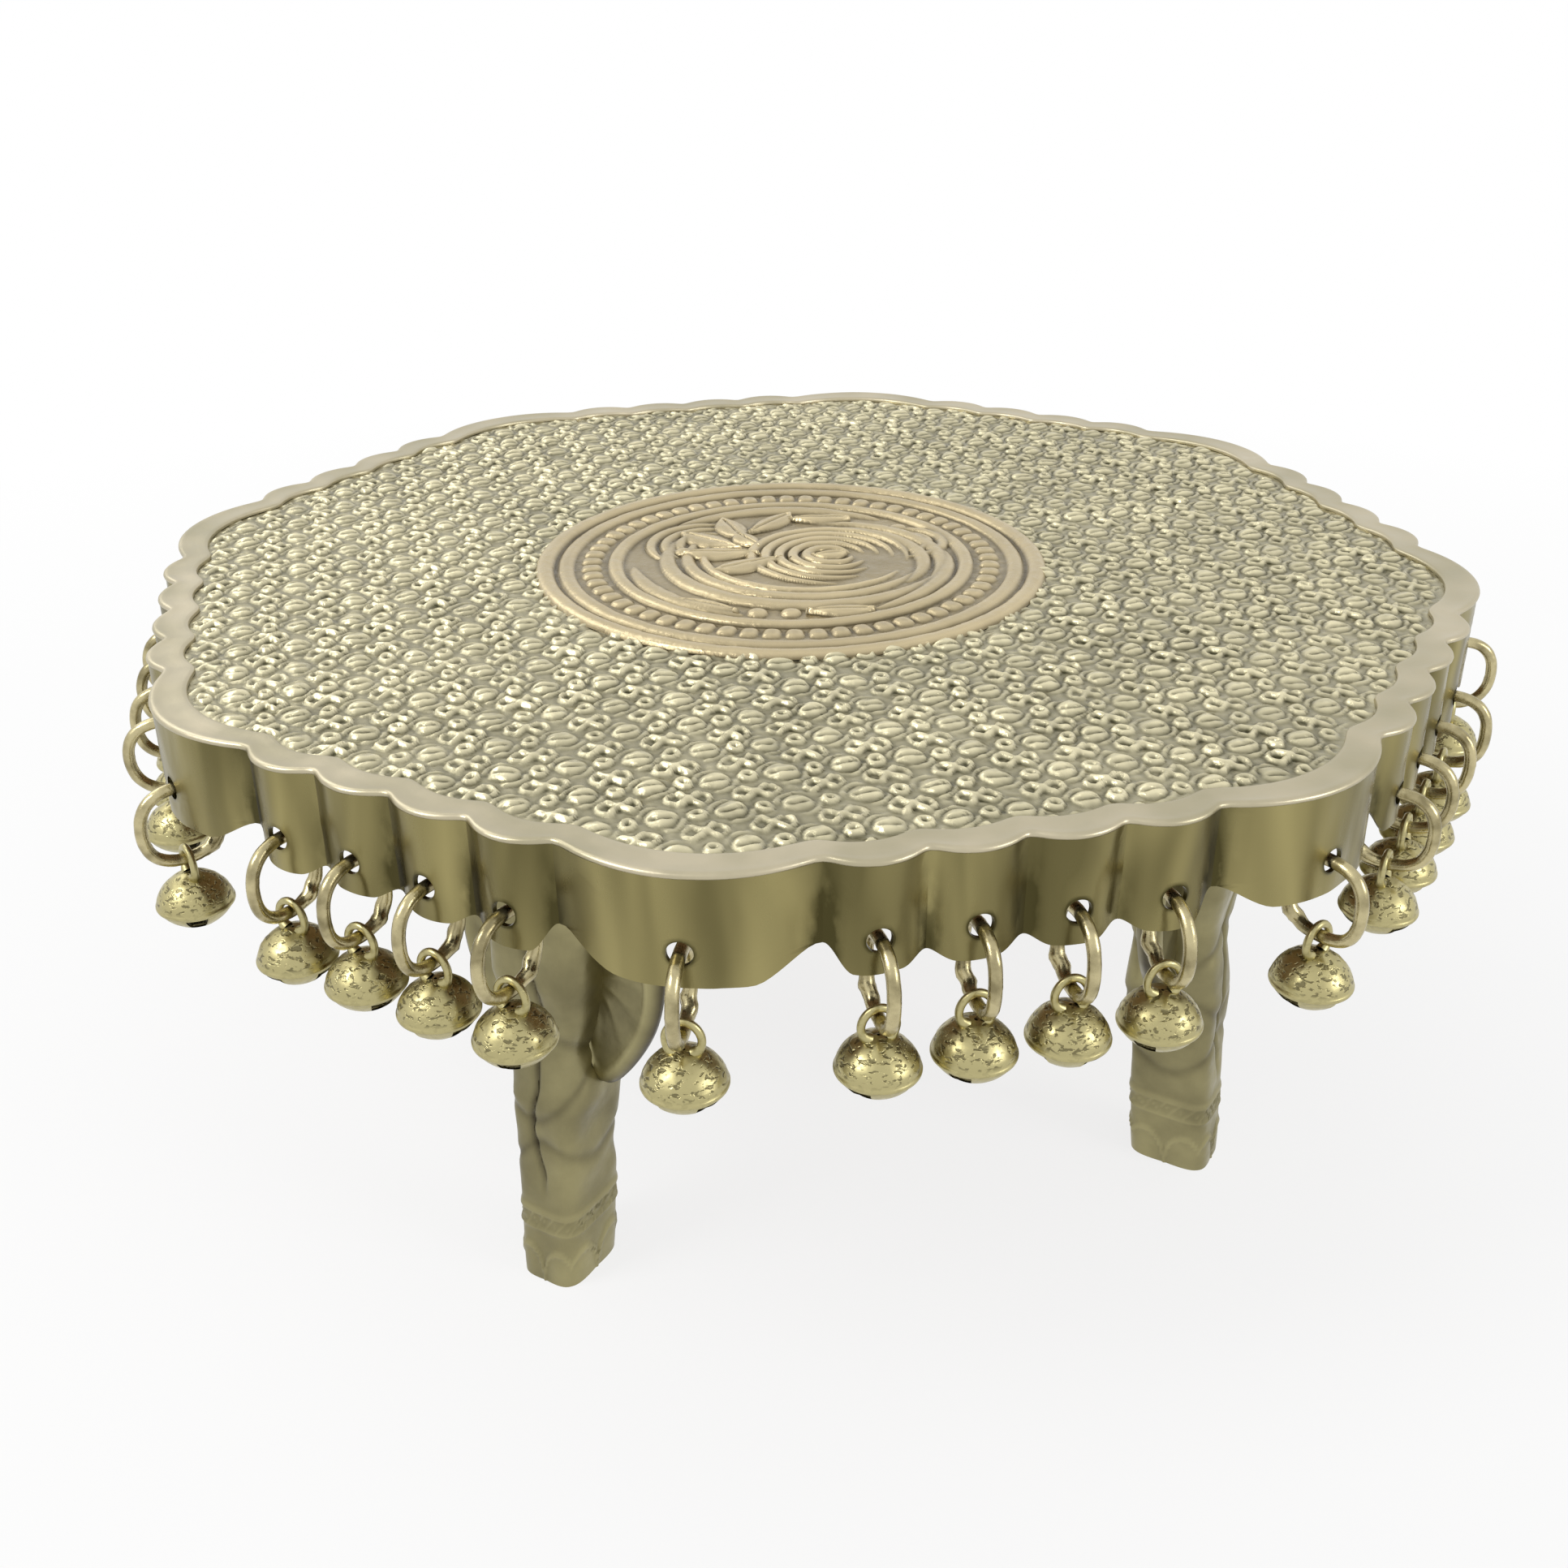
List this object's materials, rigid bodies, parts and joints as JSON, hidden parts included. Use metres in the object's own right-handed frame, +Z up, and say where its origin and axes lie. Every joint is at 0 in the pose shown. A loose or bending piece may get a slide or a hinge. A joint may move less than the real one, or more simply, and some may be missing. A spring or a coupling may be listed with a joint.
{
  "type": "low table",
  "caption": "Low eight-sided ceremonial table with a scalloped metal skirt, embossed top, four elephant-head legs and small rattle bells hung from wire rings",
  "frame": {"origin": "on the floor under the middle of the top", "axes": "+Z up; a corner of the eight-sided top points along -Y, and the legs stand at -112.5, -22.5, 67.5 and 157.5 degrees"},
  "size_m": [0.3358, 0.3358, 0.1403],
  "materials": {
    "board_wood": "plain sawn wood, hidden",
    "core_wood": "plain carved wood, hidden",
    "top_silver": "embossed white-metal sheet, antique finish with dark recesses",
    "border_metal": "smooth satin sheet",
    "skirt_metal": "satin antique sheet with oxidised notches",
    "leg_metal": "embossed antique sheet",
    "ring_brass": "hammered wire",
    "bell_brass": "hammered dome with dark pits",
    "bolt_steel": "plain steel, hidden"
  },
  "bodies": {
    "table": {"wood_board": "board_wood", "top_sheet": "top_silver", "rim_border": "border_metal", "skirt_band": "skirt_metal", "leg_bolts": "bolt_steel", "leg_core_1": "core_wood", "leg_core_2": "core_wood", "leg_core_3": "core_wood", "leg_core_4": "core_wood", "leg_cladding_1": "leg_metal", "leg_cladding_2": "leg_metal", "leg_cladding_3": "leg_metal", "leg_cladding_4": "leg_metal"},
    "ring_corner_1": {"ring_corner_1": "ring_brass"},
    "bell_corner_1": {"bell_corner_1": "bell_brass"},
    "ring_corner_2": {"ring_corner_2": "ring_brass"},
    "bell_corner_2": {"bell_corner_2": "bell_brass"},
    "ring_corner_3": {"ring_corner_3": "ring_brass"},
    "bell_corner_3": {"bell_corner_3": "bell_brass"},
    "ring_corner_4": {"ring_corner_4": "ring_brass"},
    "bell_corner_4": {"bell_corner_4": "bell_brass"},
    "ring_corner_5": {"ring_corner_5": "ring_brass"},
    "bell_corner_5": {"bell_corner_5": "bell_brass"},
    "ring_corner_6": {"ring_corner_6": "ring_brass"},
    "bell_corner_6": {"bell_corner_6": "bell_brass"},
    "ring_corner_7": {"ring_corner_7": "ring_brass"},
    "bell_corner_7": {"bell_corner_7": "bell_brass"},
    "ring_corner_8": {"ring_corner_8": "ring_brass"},
    "bell_corner_8": {"bell_corner_8": "bell_brass"},
    "ring_side_1_1": {"ring_side_1_1": "ring_brass"},
    "bell_side_1_1": {"bell_side_1_1": "bell_brass"},
    "ring_side_1_2": {"ring_side_1_2": "ring_brass"},
    "bell_side_1_2": {"bell_side_1_2": "bell_brass"},
    "ring_side_1_3": {"ring_side_1_3": "ring_brass"},
    "bell_side_1_3": {"bell_side_1_3": "bell_brass"},
    "ring_side_1_4": {"ring_side_1_4": "ring_brass"},
    "bell_side_1_4": {"bell_side_1_4": "bell_brass"},
    "ring_side_2": {"ring_side_2": "ring_brass"},
    "bell_side_2": {"bell_side_2": "bell_brass"},
    "ring_side_3": {"ring_side_3": "ring_brass"},
    "bell_side_3": {"bell_side_3": "bell_brass"},
    "ring_side_4": {"ring_side_4": "ring_brass"},
    "bell_side_4": {"bell_side_4": "bell_brass"},
    "ring_side_5": {"ring_side_5": "ring_brass"},
    "bell_side_5": {"bell_side_5": "bell_brass"},
    "ring_side_6": {"ring_side_6": "ring_brass"},
    "bell_side_6": {"bell_side_6": "bell_brass"},
    "ring_side_7": {"ring_side_7": "ring_brass"},
    "bell_side_7": {"bell_side_7": "bell_brass"},
    "ring_side_8_1": {"ring_side_8_1": "ring_brass"},
    "bell_side_8_1": {"bell_side_8_1": "bell_brass"},
    "ring_side_8_2": {"ring_side_8_2": "ring_brass"},
    "bell_side_8_2": {"bell_side_8_2": "bell_brass"},
    "ring_side_8_3": {"ring_side_8_3": "ring_brass"},
    "bell_side_8_3": {"bell_side_8_3": "bell_brass"},
    "ring_side_8_4": {"ring_side_8_4": "ring_brass"},
    "bell_side_8_4": {"bell_side_8_4": "bell_brass"}
  },
  "joints": [
    {"name": "swing_ring_corner_1", "type": "hinge", "parent": "table", "child": "ring_corner_1", "pos_m": [0, -0.1586, 0.1242], "axis": [1, 0, 0], "range_deg": [-35, 35]},
    {"name": "swing_bell_corner_1", "type": "hinge", "parent": "ring_corner_1", "child": "bell_corner_1", "pos_m": [0, -0.1586, 0.1162], "axis": [1, 0, 0], "range_deg": [-35, 35]},
    {"name": "swing_ring_corner_2", "type": "hinge", "parent": "table", "child": "ring_corner_2", "pos_m": [0.11215, -0.11215, 0.1242], "axis": [0.7071, 0.7071, 0], "range_deg": [-35, 35]},
    {"name": "swing_bell_corner_2", "type": "hinge", "parent": "ring_corner_2", "child": "bell_corner_2", "pos_m": [0.11215, -0.11215, 0.1162], "axis": [0.7071, 0.7071, 0], "range_deg": [-35, 35]},
    {"name": "swing_ring_corner_3", "type": "hinge", "parent": "table", "child": "ring_corner_3", "pos_m": [0.1586, 0, 0.1242], "axis": [0, 1, 0], "range_deg": [-35, 35]},
    {"name": "swing_bell_corner_3", "type": "hinge", "parent": "ring_corner_3", "child": "bell_corner_3", "pos_m": [0.1586, 0, 0.1162], "axis": [0, 1, 0], "range_deg": [-35, 35]},
    {"name": "swing_ring_corner_4", "type": "hinge", "parent": "table", "child": "ring_corner_4", "pos_m": [0.11215, 0.11215, 0.1242], "axis": [-0.7071, 0.7071, 0], "range_deg": [-35, 35]},
    {"name": "swing_bell_corner_4", "type": "hinge", "parent": "ring_corner_4", "child": "bell_corner_4", "pos_m": [0.11215, 0.11215, 0.1162], "axis": [-0.7071, 0.7071, 0], "range_deg": [-35, 35]},
    {"name": "swing_ring_corner_5", "type": "hinge", "parent": "table", "child": "ring_corner_5", "pos_m": [0, 0.1586, 0.1242], "axis": [-1, 0, 0], "range_deg": [-35, 35]},
    {"name": "swing_bell_corner_5", "type": "hinge", "parent": "ring_corner_5", "child": "bell_corner_5", "pos_m": [0, 0.1586, 0.1162], "axis": [-1, 0, 0], "range_deg": [-35, 35]},
    {"name": "swing_ring_corner_6", "type": "hinge", "parent": "table", "child": "ring_corner_6", "pos_m": [-0.11215, 0.11215, 0.1242], "axis": [-0.7071, -0.7071, 0], "range_deg": [-35, 35]},
    {"name": "swing_bell_corner_6", "type": "hinge", "parent": "ring_corner_6", "child": "bell_corner_6", "pos_m": [-0.11215, 0.11215, 0.1162], "axis": [-0.7071, -0.7071, 0], "range_deg": [-35, 35]},
    {"name": "swing_ring_corner_7", "type": "hinge", "parent": "table", "child": "ring_corner_7", "pos_m": [-0.1586, 0, 0.1242], "axis": [0, -1, 0], "range_deg": [-35, 35]},
    {"name": "swing_bell_corner_7", "type": "hinge", "parent": "ring_corner_7", "child": "bell_corner_7", "pos_m": [-0.1586, 0, 0.1162], "axis": [0, -1, 0], "range_deg": [-35, 35]},
    {"name": "swing_ring_corner_8", "type": "hinge", "parent": "table", "child": "ring_corner_8", "pos_m": [-0.11215, -0.11215, 0.1242], "axis": [0.7071, -0.7071, 0], "range_deg": [-35, 35]},
    {"name": "swing_bell_corner_8", "type": "hinge", "parent": "ring_corner_8", "child": "bell_corner_8", "pos_m": [-0.11215, -0.11215, 0.1162], "axis": [0.7071, -0.7071, 0], "range_deg": [-35, 35]},
    {"name": "swing_ring_side_1_1", "type": "hinge", "parent": "table", "child": "ring_side_1_1", "pos_m": [0.03292, -0.15002, 0.1242], "axis": [0.9239, 0.3827, 0], "range_deg": [-35, 35]},
    {"name": "swing_bell_side_1_1", "type": "hinge", "parent": "ring_side_1_1", "child": "bell_side_1_1", "pos_m": [0.03292, -0.15002, 0.1162], "axis": [0.9239, 0.3827, 0], "range_deg": [-35, 35]},
    {"name": "swing_ring_side_1_2", "type": "hinge", "parent": "table", "child": "ring_side_1_2", "pos_m": [0.04955, -0.14313, 0.1242], "axis": [0.9239, 0.3827, 0], "range_deg": [-35, 35]},
    {"name": "swing_bell_side_1_2", "type": "hinge", "parent": "ring_side_1_2", "child": "bell_side_1_2", "pos_m": [0.04955, -0.14313, 0.1162], "axis": [0.9239, 0.3827, 0], "range_deg": [-35, 35]},
    {"name": "swing_ring_side_1_3", "type": "hinge", "parent": "table", "child": "ring_side_1_3", "pos_m": [0.06618, -0.13625, 0.1242], "axis": [0.9239, 0.3827, 0], "range_deg": [-35, 35]},
    {"name": "swing_bell_side_1_3", "type": "hinge", "parent": "ring_side_1_3", "child": "bell_side_1_3", "pos_m": [0.06618, -0.13625, 0.1162], "axis": [0.9239, 0.3827, 0], "range_deg": [-35, 35]},
    {"name": "swing_ring_side_1_4", "type": "hinge", "parent": "table", "child": "ring_side_1_4", "pos_m": [0.08281, -0.12936, 0.1242], "axis": [0.9239, 0.3827, 0], "range_deg": [-35, 35]},
    {"name": "swing_bell_side_1_4", "type": "hinge", "parent": "ring_side_1_4", "child": "bell_side_1_4", "pos_m": [0.08281, -0.12936, 0.1162], "axis": [0.9239, 0.3827, 0], "range_deg": [-35, 35]},
    {"name": "swing_ring_side_2", "type": "hinge", "parent": "table", "child": "ring_side_2", "pos_m": [0.13969, -0.05786, 0.1242], "axis": [0.3827, 0.9239, 0], "range_deg": [-35, 35]},
    {"name": "swing_bell_side_2", "type": "hinge", "parent": "ring_side_2", "child": "bell_side_2", "pos_m": [0.13969, -0.05786, 0.1162], "axis": [0.3827, 0.9239, 0], "range_deg": [-35, 35]},
    {"name": "swing_ring_side_3", "type": "hinge", "parent": "table", "child": "ring_side_3", "pos_m": [0.13969, 0.05786, 0.1242], "axis": [-0.3827, 0.9239, 0], "range_deg": [-35, 35]},
    {"name": "swing_bell_side_3", "type": "hinge", "parent": "ring_side_3", "child": "bell_side_3", "pos_m": [0.13969, 0.05786, 0.1162], "axis": [-0.3827, 0.9239, 0], "range_deg": [-35, 35]},
    {"name": "swing_ring_side_4", "type": "hinge", "parent": "table", "child": "ring_side_4", "pos_m": [0.05786, 0.13969, 0.1242], "axis": [-0.9239, 0.3827, 0], "range_deg": [-35, 35]},
    {"name": "swing_bell_side_4", "type": "hinge", "parent": "ring_side_4", "child": "bell_side_4", "pos_m": [0.05786, 0.13969, 0.1162], "axis": [-0.9239, 0.3827, 0], "range_deg": [-35, 35]},
    {"name": "swing_ring_side_5", "type": "hinge", "parent": "table", "child": "ring_side_5", "pos_m": [-0.05786, 0.13969, 0.1242], "axis": [-0.9239, -0.3827, 0], "range_deg": [-35, 35]},
    {"name": "swing_bell_side_5", "type": "hinge", "parent": "ring_side_5", "child": "bell_side_5", "pos_m": [-0.05786, 0.13969, 0.1162], "axis": [-0.9239, -0.3827, 0], "range_deg": [-35, 35]},
    {"name": "swing_ring_side_6", "type": "hinge", "parent": "table", "child": "ring_side_6", "pos_m": [-0.13969, 0.05786, 0.1242], "axis": [-0.3827, -0.9239, 0], "range_deg": [-35, 35]},
    {"name": "swing_bell_side_6", "type": "hinge", "parent": "ring_side_6", "child": "bell_side_6", "pos_m": [-0.13969, 0.05786, 0.1162], "axis": [-0.3827, -0.9239, 0], "range_deg": [-35, 35]},
    {"name": "swing_ring_side_7", "type": "hinge", "parent": "table", "child": "ring_side_7", "pos_m": [-0.13969, -0.05786, 0.1242], "axis": [0.3827, -0.9239, 0], "range_deg": [-35, 35]},
    {"name": "swing_bell_side_7", "type": "hinge", "parent": "ring_side_7", "child": "bell_side_7", "pos_m": [-0.13969, -0.05786, 0.1162], "axis": [0.3827, -0.9239, 0], "range_deg": [-35, 35]},
    {"name": "swing_ring_side_8_1", "type": "hinge", "parent": "table", "child": "ring_side_8_1", "pos_m": [-0.08281, -0.12936, 0.1242], "axis": [0.9239, -0.3827, 0], "range_deg": [-35, 35]},
    {"name": "swing_bell_side_8_1", "type": "hinge", "parent": "ring_side_8_1", "child": "bell_side_8_1", "pos_m": [-0.08281, -0.12936, 0.1162], "axis": [0.9239, -0.3827, 0], "range_deg": [-35, 35]},
    {"name": "swing_ring_side_8_2", "type": "hinge", "parent": "table", "child": "ring_side_8_2", "pos_m": [-0.06618, -0.13625, 0.1242], "axis": [0.9239, -0.3827, 0], "range_deg": [-35, 35]},
    {"name": "swing_bell_side_8_2", "type": "hinge", "parent": "ring_side_8_2", "child": "bell_side_8_2", "pos_m": [-0.06618, -0.13625, 0.1162], "axis": [0.9239, -0.3827, 0], "range_deg": [-35, 35]},
    {"name": "swing_ring_side_8_3", "type": "hinge", "parent": "table", "child": "ring_side_8_3", "pos_m": [-0.04955, -0.14313, 0.1242], "axis": [0.9239, -0.3827, 0], "range_deg": [-35, 35]},
    {"name": "swing_bell_side_8_3", "type": "hinge", "parent": "ring_side_8_3", "child": "bell_side_8_3", "pos_m": [-0.04955, -0.14313, 0.1162], "axis": [0.9239, -0.3827, 0], "range_deg": [-35, 35]},
    {"name": "swing_ring_side_8_4", "type": "hinge", "parent": "table", "child": "ring_side_8_4", "pos_m": [-0.03292, -0.15002, 0.1242], "axis": [0.9239, -0.3827, 0], "range_deg": [-35, 35]},
    {"name": "swing_bell_side_8_4", "type": "hinge", "parent": "ring_side_8_4", "child": "bell_side_8_4", "pos_m": [-0.03292, -0.15002, 0.1162], "axis": [0.9239, -0.3827, 0], "range_deg": [-35, 35]}
  ]
}
